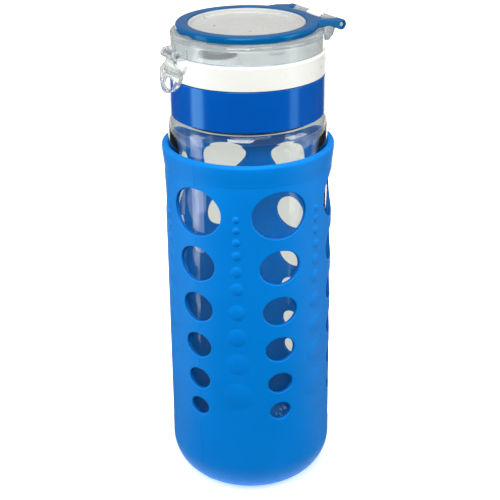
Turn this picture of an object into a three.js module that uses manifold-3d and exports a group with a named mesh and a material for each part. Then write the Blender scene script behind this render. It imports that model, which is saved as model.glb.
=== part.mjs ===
// Glass water bottle with a windowed silicone sleeve and a screw-on flip-cover lid.
// Units are millimetres, +Z is up. The origin is the centre of the sleeve's flat base.
// The latch faces -Y and the cover's hinge is at +Y.

import * as THREE from "three";
import { mergeVertices } from "three/addons/utils/BufferGeometryUtils.js";
import Module from "manifold-3d";

const wasm = await Module();
wasm.setup();

// ---------------------------------------------------------------- driving dimensions

// clearances
const GAP = 0.3; // between two pieces that touch
const RUN = 0.3; // radial, round a pin
const THREAD_PLAY = 0.4; // radial, between a thread's crest and the facing wall
const SIDE_PLAY = 0.3; // between two hinge knuckles

// facets
const ROUND = 40; // sides of the large turned pieces
const SMALL_ROUND = 16; // sides of bosses, barrels, pins and windows
const CORNER_STEPS = 6;
const SAME = 1e-4; // two points nearer than this are one
const SINK = 0.2; // how far a joined feature reaches into its wall
const PAST = 1; // how far a cutter reaches past the face it cuts

// glass bottle
const GLASS_RADIUS = 36.1;
const GLASS_WALL = 2.6;
const GLASS_BASE_WALL = 6;
const GLASS_CORNER = 16.6; // radius of the outer bottom corner
const PUNT_RADIUS = 17; // the hollow under the base
const PUNT_DEPTH = 1.6;
const PUNT_KNEE = [0.6, 0.75]; // where it turns down, as shares of its radius and depth
const BODY_HEIGHT = 176.2; // from the glass base to the start of the shoulder
const SHOULDER_ROUND = 4.6; // how far the shoulder's curve turns in
const SHOULDER_HEIGHT = 5;
const SHOULDER_WALL = 1.3; // the glass is blown thinner here
const SHOULDER_THINNING = 16; // from the full wall up to the shoulder
const NECK_RADIUS = 30;
const NECK_WALL = 2.6;
const NECK_HEIGHT = 20.1;

// thread on the neck and in the collar
const THREAD_LEAD = 5;
const THREAD_DEPTH = 1.5;
const THREAD_ROOT_WIDTH = 2.6;
const THREAD_CREST_WIDTH = 1.2;
const THREAD_TURNS = 1.6;
const THREAD_START = 5.1; // above the foot of the neck
const THREAD_FADE = 0.1; // share of the ridge left at its two ends

// silicone sleeve
const SLEEVE_WALL = 2;
const SLEEVE_BASE = 2.4;
const SLEEVE_SHORT = 8.1; // from the sleeve's rim up to the start of the shoulder
const SLEEVE_BEAD = 0.9; // how far the rolled rim stands out
const SLEEVE_BEAD_HEIGHT = 4;
const WINDOW_COLUMNS = 6;
const WINDOW_TURN = 18.5; // degrees from the latch to the first column
const WINDOW_ASPECT = 0.83; // height over width
const WINDOWS = [
  // height of the centre as a share of the sleeve's, half-width
  [0.8607, 13.2],
  [0.7143, 9.8],
  [0.5878, 8.4],
  [0.4742, 7.2],
  [0.3718, 6.1],
  [0.2857, 5.1],
];

// screw collar
const COLLAR_WALL = 1.7; // outside the rebate
const COLLAR_HEIGHT = 18.1;
const COLLAR_ABOVE_SHOULDER = 0.6; // from the foot of the neck to the collar's lower edge
const COLLAR_EDGE = 0.6; // chamfer
const COLLAR_REBATE_DEPTH = 3.7;
const COLLAR_REBATE_WIDTH = 1.4;

// neck gasket
const GASKET_THICKNESS = 1.7;

// spout cap
const BAND_HEIGHT = 10.3;
const BAND_WALL = 2.5;
const DECK_THICKNESS = 2;
const SPOUT_OFFSET = 15; // from the axis towards the latch
const SPOUT_BORE = 7;
const SPOUT_WALL = 2;
const SPOUT_HEIGHT = 3.9;
const SPOUT_TAPER = 0.6;
const VENT_OFFSET = 16; // from the axis towards the hinge
const VENT_RADIUS = 1.8;
const VENT_HEAD_RADIUS = 4.2;
const VENT_HEAD_HEIGHT = 1.3;
const VENT_DOME = [0.75, 0.8]; // where the head's edge turns in, as shares of those two
const VENT_BARB = 1; // how far the barb stands out of the stem
const VENT_BARB_HEIGHT = 1.6;
const CATCH_HALF_WIDTH = 6;
const CATCH_HEIGHT = 2;
const CATCH_REACH = 1.9; // how far the catch stands out of the band
const CATCH_BELOW_TOP = 1.7;

// flip cover
const COVER_INSET = 0.8; // from the band's wall to the cover's
const COVER_WALL = 1.8;
const COVER_HEIGHT = 8.3;
const COVER_EDGE = 1.2;
const RIM_INSET = 8.2; // from the cover's wall to the raised rim that the carry ring lies round
const RIM_WALL = 1.5;
const RIM_HEIGHT = 3.1;
const DISC_HEIGHT = 1.1; // the clear disc inside the rim, above the cover's deck
const BOSS_RADIUS = 5; // the hollow boss that carries the spout seal
const BOSS_WALL = 1.4;
const PLUG_DEPTH = 1.9; // how far the boss and its seal reach into the spout
const SEAL_LIP = 1.2; // thickness of the seal's flange
const SEAL_COVERS = 0.75; // share of the spout's wall that the flange sits on

// hinge at the back
const BARREL_CLEAR = 0.9; // from the cover's wall to the barrels
const HINGE_RISE = 0.2; // of the pin above the cover's deck
const BARREL_RADIUS = 2.4;
const HINGE_PIN_RADIUS = 1.1;
const CAP_KNUCKLE = 10; // width of the cap's single knuckle
const COVER_KNUCKLE = 9.4; // width of each of the cover's two
const RING_KNUCKLE = 4.7; // width of each of the ring's two
const POST_CLEAR = 0.5; // from the cover's wall to the cap's hinge post
const POST_DEPTH = 4.2;
const ARM_FOOT = 0.85; // where the ring's arm meets its barrel, as a share of the barrel's radius
const GUSSET_FOOT = 1; // of the cover's knuckle gussets above the cover's lower edge
const GUSSET_RISE = 2; // and of their slope from the wall out to the barrel
const PIN_RECESS = 0.6; // how far the pin's ends sit inside the outer barrels

// carry ring
const RING_WIDTH = 5.3;
const RING_THICKNESS = 3.1;
const RING_EDGE = 0.7;
const RING_FLAT = 1.1; // from the ring's outer radius in to its straight back edge
const NOTCH_RADIUS = 5.5; // thumb notch under the front
const NOTCH_DEPTH = 1.4;

// latch
const LATCH_STANDOFF = 4.5; // from the cover's wall to the latch pin
const LATCH_RISE = 2.5; // of the latch pin above the cover's lower edge
const LATCH_BARREL = 1.9;
const LATCH_PIN_RADIUS = 0.8;
const LATCH_HALF_WIDTH = 3.6; // between the cover's two lugs
const PADDLE_HALF_WIDTH = 8.8;
const PADDLE_BELOW_LUGS = 1.2;
const LATCH_THICKNESS = 1.9;
const LATCH_LENGTH = 16.4; // from the pin to the paddle's tip
const LATCH_FLARE = 2.6; // how far the tip curls out
const LATCH_STRAIGHT = 1 / 3; // share of its length above the curl
const LUG_THICKNESS = 1.7;
const LUG_RADIUS = 2.2;
const GRIP_HALF_WIDTH = 4.4; // of the opening in the paddle
const GRIP_HEIGHT = 5;

// ---------------------------------------------------------------- derived places

const glassBottom = SLEEVE_BASE + GAP;
const shoulderStart = glassBottom + BODY_HEIGHT;
const neckFoot = shoulderStart + SHOULDER_HEIGHT;
const neckTop = neckFoot + NECK_HEIGHT;
const neckBore = NECK_RADIUS - NECK_WALL;
const threadCrest = NECK_RADIUS + THREAD_DEPTH;

const sleeveHeight = shoulderStart - SLEEVE_SHORT;
const sleeveInner = GLASS_RADIUS + GAP;
const sleeveOuter = sleeveInner + SLEEVE_WALL;
const sleeveCorner = GLASS_CORNER + GAP + SLEEVE_WALL;

const collarBottom = neckFoot + COLLAR_ABOVE_SHOULDER;
const collarTop = collarBottom + COLLAR_HEIGHT;
const collarBore = threadCrest + THREAD_PLAY;
const rebateRadius = collarBore + COLLAR_REBATE_WIDTH;
const collarRadius = rebateRadius + COLLAR_WALL;
const rebateFloor = collarTop - COLLAR_REBATE_DEPTH;

const gasketBottom = neckTop + GAP;
const gasketTop = gasketBottom + GASKET_THICKNESS;

const bandBottom = collarTop + GAP;
const bandTop = bandBottom + BAND_HEIGHT;
const bandBore = collarRadius - BAND_WALL;
const deckBottom = gasketTop + GAP;
const deckTop = deckBottom + DECK_THICKNESS;
const spoutTop = deckTop + SPOUT_HEIGHT;
const catchTop = bandTop - CATCH_BELOW_TOP;
const catchBottom = catchTop - CATCH_HEIGHT;
const catchFace = collarRadius + CATCH_REACH;

const coverRadius = collarRadius - COVER_INSET;
const coverBottom = bandTop + GAP;
const coverDeck = coverBottom + COVER_HEIGHT;
const coverCeiling = coverDeck - COVER_WALL;
const coverBore = coverRadius - COVER_WALL;
const bossBottom = spoutTop - PLUG_DEPTH;
const rimRadius = coverRadius - RIM_INSET;
const rimBore = rimRadius - RIM_WALL;
const discTop = coverDeck + DISC_HEIGHT;

const hingeRadial = coverRadius + BARREL_CLEAR + BARREL_RADIUS;
const hingeHeight = coverDeck + HINGE_RISE;
const hingeHole = HINGE_PIN_RADIUS + RUN;
const coverKnuckleFrom = CAP_KNUCKLE / 2 + SIDE_PLAY;
const coverKnuckleTo = coverKnuckleFrom + COVER_KNUCKLE;
const ringKnuckleFrom = coverKnuckleTo + SIDE_PLAY;
const ringKnuckleTo = ringKnuckleFrom + RING_KNUCKLE;
const postFace = coverRadius + POST_CLEAR;

const ringBottom = coverDeck + GAP;
const ringTop = ringBottom + RING_THICKNESS;
const ringBore = rimRadius + GAP;
const ringRadius = ringBore + RING_WIDTH;
const ringChord = ringRadius - RING_FLAT;

const latchRadial = coverRadius + LATCH_STANDOFF;
const latchHeight = coverBottom + LATCH_RISE;
const latchHole = LATCH_PIN_RADIUS + RUN;
const lugFrom = LATCH_HALF_WIDTH + SIDE_PLAY;
const lugTo = lugFrom + LUG_THICKNESS;
const latchTip = latchHeight - LATCH_LENGTH;
const lipTop = catchBottom - GAP;

// ---------------------------------------------------------------- materials

function finish(color, roughness, metalness = 0, opacity = 1) {
  return new THREE.MeshStandardMaterial({
    color,
    roughness,
    metalness,
    opacity,
    transparent: opacity < 1,
  });
}

const GLASS = finish(0xdfeae8, 0.05, 0, 0.35);
const CLEAR_PLASTIC = finish(0xd3d8d6, 0.12, 0, 0.5);
const SILICONE_BLUE = finish(0x1684e0, 0.6);
const PLASTIC_BLUE = finish(0x0059b8, 0.22);
const RING_BLUE = finish(0x0d72b4, 0.28);
const PLASTIC_WHITE = finish(0xf6f6f2, 0.3);
const SILICONE_CLEAR = finish(0xe8ebe8, 0.5, 0, 0.8);
const SILICONE_DARK = finish(0x33353a, 0.5);
const STEEL = finish(0xb8bcc0, 0.3, 1);

// ---------------------------------------------------------------- modelling helpers

// A closed three.js geometry as a manifold solid with its faces pointing out.
function solid(geometry) {
  const bare = geometry.clone();
  bare.deleteAttribute("normal");
  bare.deleteAttribute("uv");
  const merged = mergeVertices(bare, SAME);
  const points = merged.attributes.position.array;
  const index = merged.index.array;
  const faces = [];
  let volume = 0;
  const [a, b, c] = [new THREE.Vector3(), new THREE.Vector3(), new THREE.Vector3()];
  for (let i = 0; i < index.length; i += 3) {
    const [p, q, r] = [index[i], index[i + 1], index[i + 2]];
    if (p === q || q === r || r === p) continue;
    faces.push(p, q, r);
    a.fromArray(points, 3 * p);
    b.fromArray(points, 3 * q);
    c.fromArray(points, 3 * r);
    volume += a.dot(b.cross(c));
  }
  if (volume < 0) faces.reverse();
  return new wasm.Manifold(
    new wasm.Mesh({
      numProp: 3,
      vertProperties: new Float32Array(points),
      triVerts: new Uint32Array(faces),
    }),
  );
}

function mesh(name, body, material) {
  const { vertProperties, triVerts } = body.getMesh();
  const geometry = new THREE.BufferGeometry();
  geometry.setAttribute("position", new THREE.BufferAttribute(vertProperties, 3));
  geometry.setIndex(new THREE.BufferAttribute(triVerts, 1));
  geometry.computeVertexNormals();
  const made = new THREE.Mesh(geometry, material);
  made.name = name;
  return made;
}

function joined(...bodies) {
  return bodies.reduce((whole, body) => whole.add(body));
}

// A profile of [radius, height] points turned round the Z axis.
function turned(profile, sides = ROUND) {
  const points = profile.map(([r, z]) => new THREE.Vector2(r, z));
  return solid(new THREE.LatheGeometry(points, sides).rotateX(Math.PI / 2));
}

// The same for a profile that is a ring: its last point joins its first.
function turnedRing(profile, sides = ROUND) {
  return turned([...profile, profile[0]], sides);
}

function tube(inner, outer, bottom, top, sides = ROUND) {
  return turnedRing(
    [
      [inner, bottom],
      [outer, bottom],
      [outer, top],
      [inner, top],
    ],
    sides,
  );
}

function disc(radius, bottom, top, sides = ROUND) {
  return turned(
    [
      [0, bottom],
      [radius, bottom],
      [radius, top],
      [0, top],
    ],
    sides,
  );
}

// Points of an elliptic arc from one angle to another, in degrees.
function arc(x, y, radiusX, radiusY, from, to, steps) {
  const points = [];
  for (let i = 0; i <= steps; i += 1) {
    const angle = THREE.MathUtils.degToRad(from + ((to - from) * i) / steps);
    points.push([x + radiusX * Math.cos(angle), y + radiusY * Math.sin(angle)]);
  }
  return points;
}

// The rounded foot of a wall that stands at a radius on a floor.
function roundCorner(wall, floor, radius, from, to) {
  return arc(wall - radius, floor + radius, radius, radius, from, to, CORNER_STEPS);
}

function outline(points) {
  return new THREE.Shape(points.map(([x, y]) => new THREE.Vector2(x, y)));
}

// A side view of [y, z] points, given thickness along X from one x to another.
function sideSlab(points, fromX, toX) {
  const depth = toX - fromX;
  const slab = new THREE.ExtrudeGeometry(outline(points), { depth, bevelEnabled: false });
  slab.applyMatrix4(new THREE.Matrix4().set(0, 0, 1, fromX, 1, 0, 0, 0, 0, 1, 0, 0, 0, 0, 0, 1));
  return solid(slab);
}

// A front view of [x, z] points, given thickness along Y from one y to another.
function frontSlab(points, fromY, toY) {
  const depth = toY - fromY;
  const slab = new THREE.ExtrudeGeometry(outline(points), { depth, bevelEnabled: false });
  slab.rotateX(Math.PI / 2).translate(0, toY, 0);
  return solid(slab);
}

function box(fromX, toX, fromY, toY, fromZ, toZ) {
  const block = new THREE.BoxGeometry(toX - fromX, toY - fromY, toZ - fromZ);
  block.translate((fromX + toX) / 2, (fromY + toY) / 2, (fromZ + toZ) / 2);
  return solid(block);
}

// A round bar along X, centred on a point of the YZ plane.
function barX(radius, fromX, toX, y, z) {
  const bar = new THREE.CylinderGeometry(radius, radius, toX - fromX, SMALL_ROUND);
  bar.rotateZ(Math.PI / 2).translate((fromX + toX) / 2, y, z);
  return solid(bar);
}

function mirroredInX(body) {
  return joined(body, body.mirror([1, 0, 0]));
}

// A helical ridge round the Z axis. Its root lies at one radius and its crest at
// another, and it fades into the wall at both ends.
function threadRidge(root, crest, startHeight) {
  const steps = Math.round(THREAD_TURNS * ROUND);
  const positions = [];
  const faces = [];
  for (let i = 0; i <= steps; i += 1) {
    const angle = (2 * Math.PI * i) / ROUND;
    const height = startHeight + (THREAD_LEAD * i) / ROUND;
    const fade = i === 0 || i === steps ? THREAD_FADE : 1;
    const tip = root + (crest - root) * fade;
    const section = [
      [root, -THREAD_ROOT_WIDTH / 2],
      [tip, -THREAD_CREST_WIDTH / 2],
      [tip, THREAD_CREST_WIDTH / 2],
      [root, THREAD_ROOT_WIDTH / 2],
    ];
    for (const [r, dz] of section) {
      positions.push(r * Math.cos(angle), r * Math.sin(angle), height + dz);
    }
  }
  for (let i = 0; i < steps; i += 1) {
    for (let k = 0; k < 4; k += 1) {
      const [a, b] = [4 * i + k, 4 * i + ((k + 1) % 4)];
      faces.push(a, b, b + 4, a, b + 4, a + 4);
    }
  }
  const end = 4 * steps;
  faces.push(0, 2, 1, 0, 3, 2, end, end + 1, end + 2, end, end + 2, end + 3);
  const ridge = new THREE.BufferGeometry();
  ridge.setAttribute("position", new THREE.Float32BufferAttribute(positions, 3));
  ridge.setIndex(faces);
  return solid(ridge);
}

// ---------------------------------------------------------------- bottle and sleeve

function glassBottle() {
  const inner = GLASS_RADIUS - GLASS_WALL;
  const corner = GLASS_CORNER - GLASS_WALL;
  const floor = glassBottom + GLASS_BASE_WALL;
  const turnIn = GLASS_RADIUS - SHOULDER_ROUND;
  const lip = NECK_WALL / 2;
  const body = turned([
    [0, glassBottom + PUNT_DEPTH],
    [PUNT_RADIUS * PUNT_KNEE[0], glassBottom + PUNT_DEPTH * PUNT_KNEE[1]],
    [PUNT_RADIUS, glassBottom],
    ...roundCorner(GLASS_RADIUS, glassBottom, GLASS_CORNER, -90, 0),
    ...arc(turnIn, shoulderStart, SHOULDER_ROUND, SHOULDER_HEIGHT, 0, 90, 4),
    [NECK_RADIUS, neckFoot],
    ...arc(NECK_RADIUS - lip, neckTop - lip, lip, lip, 0, 180, 4),
    [neckBore, neckFoot - SHOULDER_WALL],
    ...arc(
      turnIn,
      shoulderStart,
      SHOULDER_ROUND - SHOULDER_WALL,
      SHOULDER_HEIGHT - SHOULDER_WALL,
      90,
      0,
      3,
    ),
    [inner, shoulderStart - SHOULDER_THINNING],
    ...roundCorner(inner, floor, corner, 0, -90),
    [0, floor],
  ]);
  const ridge = threadRidge(NECK_RADIUS - SINK, threadCrest, neckFoot + THREAD_START);
  return mesh("glass_bottle", body.add(ridge), GLASS);
}

function siliconeSleeve() {
  const innerCorner = sleeveCorner - SLEEVE_WALL;
  const beadFoot = sleeveHeight - SLEEVE_BEAD_HEIGHT;
  const beadFace = sleeveOuter + SLEEVE_BEAD;
  const edge = SLEEVE_WALL / 2;
  let body = turned([
    [0, 0],
    ...roundCorner(sleeveOuter, 0, sleeveCorner, -90, 0),
    [sleeveOuter, beadFoot],
    [beadFace, sleeveHeight - edge],
    [beadFace - edge, sleeveHeight],
    [sleeveInner, sleeveHeight],
    ...roundCorner(sleeveInner, SLEEVE_BASE, innerCorner, 0, -90),
    [0, SLEEVE_BASE],
  ]);
  for (const [share, halfWidth] of WINDOWS) {
    const hole = new THREE.CylinderGeometry(1, 1, sleeveOuter, SMALL_ROUND);
    hole.scale(halfWidth, 1, halfWidth * WINDOW_ASPECT);
    hole.translate(0, -sleeveOuter, share * sleeveHeight);
    const cutter = solid(hole);
    for (let column = 0; column < WINDOW_COLUMNS; column += 1) {
      const turn = WINDOW_TURN + (360 * column) / WINDOW_COLUMNS;
      body = body.subtract(cutter.rotate([0, 0, turn]));
    }
  }
  return mesh("silicone_sleeve", body, SILICONE_BLUE);
}

// ---------------------------------------------------------------- lid

function neckGasket() {
  const ring = tube(neckBore + GAP, NECK_RADIUS + THREAD_DEPTH / 2, gasketBottom, gasketTop);
  return mesh("neck_gasket", ring, SILICONE_CLEAR);
}

function screwCollar() {
  const shell = turnedRing([
    [collarBore, collarBottom],
    [collarRadius - COLLAR_EDGE, collarBottom],
    [collarRadius, collarBottom + COLLAR_EDGE],
    [collarRadius, collarTop],
    [rebateRadius, collarTop],
    [rebateRadius, rebateFloor],
    [collarBore, rebateFloor],
  ]);
  // The collar's ridge runs half a lead above the neck's, so that the two never meet.
  const start = neckFoot + THREAD_START - THREAD_LEAD / 2;
  const ridge = threadRidge(collarBore + SINK, NECK_RADIUS + THREAD_PLAY, start);
  return mesh("screw_collar", shell.add(ridge), PLASTIC_BLUE);
}

// The cap's hinge post: a knuckle on a leg that stands outside the cover's wall.
function hingePost() {
  const back = postFace + POST_DEPTH;
  const foot = deckBottom;
  const profile = [
    [collarRadius - BAND_WALL / 2, foot],
    [postFace, foot],
    [back, foot + POST_DEPTH],
    [back, hingeHeight],
    [postFace, hingeHeight],
    [postFace, bandTop],
    [collarRadius - BAND_WALL / 2, bandTop - SINK],
  ];
  const half = CAP_KNUCKLE / 2;
  return joined(
    sideSlab(profile, -half, half),
    barX(BARREL_RADIUS, -half, half, hingeRadial, hingeHeight),
  );
}

function spoutCap() {
  const skirtOuter = rebateRadius - GAP;
  const skirtBottom = rebateFloor + GAP;
  const lip = COLLAR_EDGE;
  const shell = turned([
    [0, deckBottom],
    [collarBore, deckBottom],
    [collarBore, skirtBottom],
    [skirtOuter, skirtBottom],
    [skirtOuter, bandBottom],
    [collarRadius, bandBottom],
    [collarRadius, bandTop - lip],
    [collarRadius - lip, bandTop],
    [bandBore, bandTop],
    [bandBore, deckTop],
    [0, deckTop],
  ]);
  const mouth = SPOUT_BORE + SPOUT_WALL;
  const spout = turned(
    [
      [0, deckTop - SINK],
      [mouth + SPOUT_TAPER, deckTop - SINK],
      [mouth, spoutTop - SPOUT_WALL / 2],
      [mouth - SPOUT_WALL / 4, spoutTop],
      [0, spoutTop],
    ],
    ROUND / 2,
  ).translate([0, -SPOUT_OFFSET, 0]);
  const bore = disc(SPOUT_BORE, deckBottom - PAST, spoutTop + PAST, ROUND / 2);
  const vent = disc(VENT_RADIUS + RUN, deckBottom - PAST, deckTop + PAST, SMALL_ROUND);
  const ledge = tube(bandBore, catchFace, catchBottom, catchTop).intersect(
    box(-CATCH_HALF_WIDTH, CATCH_HALF_WIDTH, -catchFace, -bandBore, catchBottom, catchTop),
  );
  const pinHole = barX(hingeHole, -CAP_KNUCKLE, CAP_KNUCKLE, hingeRadial, hingeHeight);
  const body = joined(shell, spout, ledge, hingePost())
    .subtract(bore.translate([0, -SPOUT_OFFSET, 0]))
    .subtract(vent.translate([0, VENT_OFFSET, 0]))
    .subtract(pinHole);
  return mesh("spout_cap", body, PLASTIC_WHITE);
}

// A mushroom valve: a broad head on the deck, a stem through it and a barb below.
function ventValve() {
  const barb = VENT_RADIUS + VENT_BARB;
  const barbTop = deckBottom - GAP;
  const seat = deckTop + GAP;
  const body = turned(
    [
      [0, barbTop - VENT_BARB_HEIGHT],
      [VENT_RADIUS / 2, barbTop - VENT_BARB_HEIGHT],
      [barb, barbTop - VENT_BARB_HEIGHT / 4],
      [barb, barbTop],
      [VENT_RADIUS, barbTop],
      [VENT_RADIUS, seat],
      [VENT_HEAD_RADIUS, seat],
      [VENT_HEAD_RADIUS * VENT_DOME[0], seat + VENT_HEAD_HEIGHT * VENT_DOME[1]],
      [0, seat + VENT_HEAD_HEIGHT],
    ],
    SMALL_ROUND,
  );
  return mesh("vent_valve", body.translate([0, VENT_OFFSET, 0]), SILICONE_CLEAR);
}

function hingePin() {
  const half = ringKnuckleTo - PIN_RECESS;
  return mesh("hinge_pin", barX(HINGE_PIN_RADIUS, -half, half, hingeRadial, hingeHeight), STEEL);
}

// ---------------------------------------------------------------- flip cover

function coverKnuckles() {
  const wall = coverRadius - COVER_WALL / 2;
  const gusset = [
    [wall - COVER_WALL, coverDeck],
    [wall - COVER_WALL, coverCeiling],
    [wall - COVER_WALL / 2, coverBottom + GUSSET_FOOT],
    [coverRadius, coverBottom + GUSSET_FOOT],
    [hingeRadial - BARREL_RADIUS / 2, coverBottom + GUSSET_FOOT + GUSSET_RISE],
    [hingeRadial, hingeHeight - BARREL_RADIUS + SINK],
    [hingeRadial, hingeHeight + BARREL_RADIUS - SINK],
    [ringChord + GAP + RUN, coverDeck],
  ];
  return mirroredInX(
    joined(
      sideSlab(gusset, coverKnuckleFrom, coverKnuckleTo),
      barX(BARREL_RADIUS, coverKnuckleFrom, coverKnuckleTo, hingeRadial, hingeHeight),
    ),
  );
}

function latchLugs() {
  const wall = COVER_WALL / 2 - coverRadius;
  const lug = [
    [wall + COVER_WALL, latchHeight + LUG_RADIUS],
    [wall + COVER_WALL, coverBottom + GAP],
    [-coverRadius, coverBottom + GAP],
    [-latchRadial, latchHeight - LUG_RADIUS],
    [-latchRadial, latchHeight + LUG_RADIUS],
  ];
  return mirroredInX(
    joined(
      sideSlab(lug, lugFrom, lugTo),
      barX(LUG_RADIUS, lugFrom, lugTo, -latchRadial, latchHeight),
    ),
  );
}

function cover() {
  const shell = turned([
    [0, discTop],
    [rimBore, discTop],
    [rimBore, coverDeck + RIM_HEIGHT],
    [rimRadius, coverDeck + RIM_HEIGHT],
    [rimRadius, coverDeck],
    ...arc(coverRadius - COVER_EDGE, coverDeck - COVER_EDGE, COVER_EDGE, COVER_EDGE, 90, 0, 3),
    [coverRadius, coverBottom],
    [coverBore, coverBottom],
    [coverBore, coverCeiling],
    [0, coverCeiling],
  ]);
  const inside = disc(coverBore, coverBottom - PAST, coverCeiling);
  const boss = tube(
    BOSS_RADIUS - BOSS_WALL,
    BOSS_RADIUS,
    bossBottom,
    coverCeiling + SINK,
    SMALL_ROUND,
  ).translate([0, -SPOUT_OFFSET, 0]);
  const hingeHalf = coverKnuckleTo + PAST;
  const latchHalf = lugTo + PAST;
  const hingeBore = barX(hingeHole, -hingeHalf, hingeHalf, hingeRadial, hingeHeight);
  const latchBore = barX(latchHole, -latchHalf, latchHalf, -latchRadial, latchHeight);
  const fittings = joined(coverKnuckles(), latchLugs()).subtract(inside);
  const body = joined(shell, fittings, boss).subtract(hingeBore).subtract(latchBore);
  return mesh("flip_cover", body, CLEAR_PLASTIC);
}

// The seal sleeves the cover's boss, plugs the spout and seats on its mouth.
function spoutSeal() {
  const inner = BOSS_RADIUS + GAP;
  const plug = SPOUT_BORE - GAP;
  const flange = SPOUT_BORE + SPOUT_WALL * SEAL_COVERS;
  const seat = spoutTop + GAP;
  const ring = turnedRing(
    [
      [inner, bossBottom],
      [plug - GAP, bossBottom],
      [plug, seat],
      [flange, seat],
      [flange, seat + SEAL_LIP],
      [inner, seat + SEAL_LIP],
    ],
    ROUND / 2,
  );
  return mesh("spout_seal", ring.translate([0, -SPOUT_OFFSET, 0]), SILICONE_DARK);
}

function latchPin() {
  const pin = barX(LATCH_PIN_RADIUS, -lugTo, lugTo, -latchRadial, latchHeight);
  return mesh("latch_pin", pin, STEEL);
}

// ---------------------------------------------------------------- carry ring

// One of the ring's two arms, from its rim down to its hinge barrel.
function ringArm() {
  const root = ringRadius - RING_WIDTH;
  const clearOfCover = coverRadius - 2 * RUN;
  const arm = [
    [root, ringBottom],
    [clearOfCover - BARREL_RADIUS, ringBottom],
    [hingeRadial - BARREL_RADIUS / 2, hingeHeight - BARREL_RADIUS * ARM_FOOT],
    [hingeRadial, hingeHeight],
    [hingeRadial, hingeHeight + BARREL_RADIUS - SINK],
    [root + RING_WIDTH / 2, ringTop],
    [root, ringTop],
  ];
  return joined(
    sideSlab(arm, ringKnuckleFrom, ringKnuckleTo),
    barX(BARREL_RADIUS, ringKnuckleFrom, ringKnuckleTo, hingeRadial, hingeHeight),
  );
}

function carryRing() {
  const rim = turned([
    [0, ringBottom],
    [ringRadius - RING_EDGE, ringBottom],
    [ringRadius, ringBottom + RING_EDGE],
    [ringRadius, ringTop - RING_EDGE],
    [ringRadius - RING_EDGE, ringTop],
    [0, ringTop],
  ]);
  const plate = box(-ringKnuckleTo, ringKnuckleTo, 0, ringChord, ringBottom, ringTop);
  const notch = new THREE.SphereGeometry(NOTCH_RADIUS, SMALL_ROUND, SMALL_ROUND / 2);
  notch.scale(1, RING_WIDTH / 2 / NOTCH_RADIUS, NOTCH_DEPTH / NOTCH_RADIUS);
  notch.translate(0, -ringRadius, ringBottom);
  const half = ringKnuckleTo + PAST;
  const body = joined(rim, plate, mirroredInX(ringArm()))
    .subtract(disc(ringBore, ringBottom - PAST, ringTop + PAST))
    .subtract(solid(notch))
    .subtract(barX(hingeHole, -half, half, hingeRadial, hingeHeight));
  return mesh("carry_ring", body, RING_BLUE);
}

// ---------------------------------------------------------------- latch

// The latch's centre line in side view: how far out it lies at a depth below the pin.
function latchBow(depth) {
  const curl = Math.max(0, (depth / LATCH_LENGTH - LATCH_STRAIGHT) / (1 - LATCH_STRAIGHT));
  return latchRadial + LATCH_FLARE * curl * curl;
}

function latch() {
  const steps = 6;
  const half = LATCH_THICKNESS / 2;
  const outside = [];
  const inside = [];
  for (let i = 0; i <= steps; i += 1) {
    const depth = (LATCH_LENGTH * i) / steps;
    outside.push([-latchBow(depth) - half, latchHeight - depth]);
    inside.unshift([-latchBow(depth) + half, latchHeight - depth]);
  }
  const strap = sideSlab([...outside, ...inside], -PADDLE_HALF_WIDTH, PADDLE_HALF_WIDTH);
  const lipBottom = lipTop - CATCH_HEIGHT;
  const lip = [
    [-latchRadial, lipTop],
    [-latchRadial, lipBottom - half],
    [-collarRadius - GAP, lipBottom + half],
    [-collarRadius - GAP, lipTop],
  ];
  const hook = sideSlab(lip, -CATCH_HALF_WIDTH, CATCH_HALF_WIDTH);

  // Seen from the front: a neck between the lugs, then a paddle with a round tip.
  const shoulder = latchHeight - LUG_RADIUS - PADDLE_BELOW_LUGS;
  const paddleTop = shoulder - PADDLE_HALF_WIDTH / 2;
  const front = [
    [LATCH_HALF_WIDTH, latchHeight + LATCH_BARREL],
    [-LATCH_HALF_WIDTH, latchHeight + LATCH_BARREL],
    [-LATCH_HALF_WIDTH, shoulder],
    ...arc(0, paddleTop, PADDLE_HALF_WIDTH, paddleTop - latchTip, 180, 360, 12),
    [LATCH_HALF_WIDTH, shoulder],
  ];
  const reach = latchRadial + LATCH_FLARE + LATCH_THICKNESS;
  const paddle = frontSlab(front, -reach, -collarRadius);

  const gripTop = lipBottom - half - GAP;
  const gripMiddle = gripTop - GRIP_HEIGHT / 2;
  const grip = frontSlab(
    arc(0, gripMiddle, GRIP_HALF_WIDTH, GRIP_HEIGHT / 2, 0, 348, 14),
    -reach - PAST,
    -collarRadius,
  );
  const barrel = barX(LATCH_BARREL, -LATCH_HALF_WIDTH, LATCH_HALF_WIDTH, -latchRadial, latchHeight);
  const bore = barX(latchHole, -lugTo, lugTo, -latchRadial, latchHeight);
  const body = joined(strap.intersect(paddle), hook, barrel).subtract(grip).subtract(bore);
  return mesh("latch", body, CLEAR_PLASTIC);
}

// ---------------------------------------------------------------- assembly

const vessel = new THREE.Group();
vessel.add(glassBottle(), siliconeSleeve());

const lid = new THREE.Group();
lid.add(neckGasket(), screwCollar(), spoutCap(), ventValve(), hingePin());

const flipTop = new THREE.Group();
flipTop.add(cover(), spoutSeal(), latchPin(), carryRing(), latch());

const bottle = new THREE.Group();
bottle.add(vessel, lid, flipTop);

export default bottle;
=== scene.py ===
"""The looks of a glass water bottle in a windowed silicone sleeve, with a flip-cover lid.

Lengths are in millimetres until a mesh is made; meshes are in metres.
The latch faces -Y and the cover's hinge is at +Y, as in the frame.
"""

import math

import bmesh
import bpy
import numpy as np
from mathutils import Matrix, Vector


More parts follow.
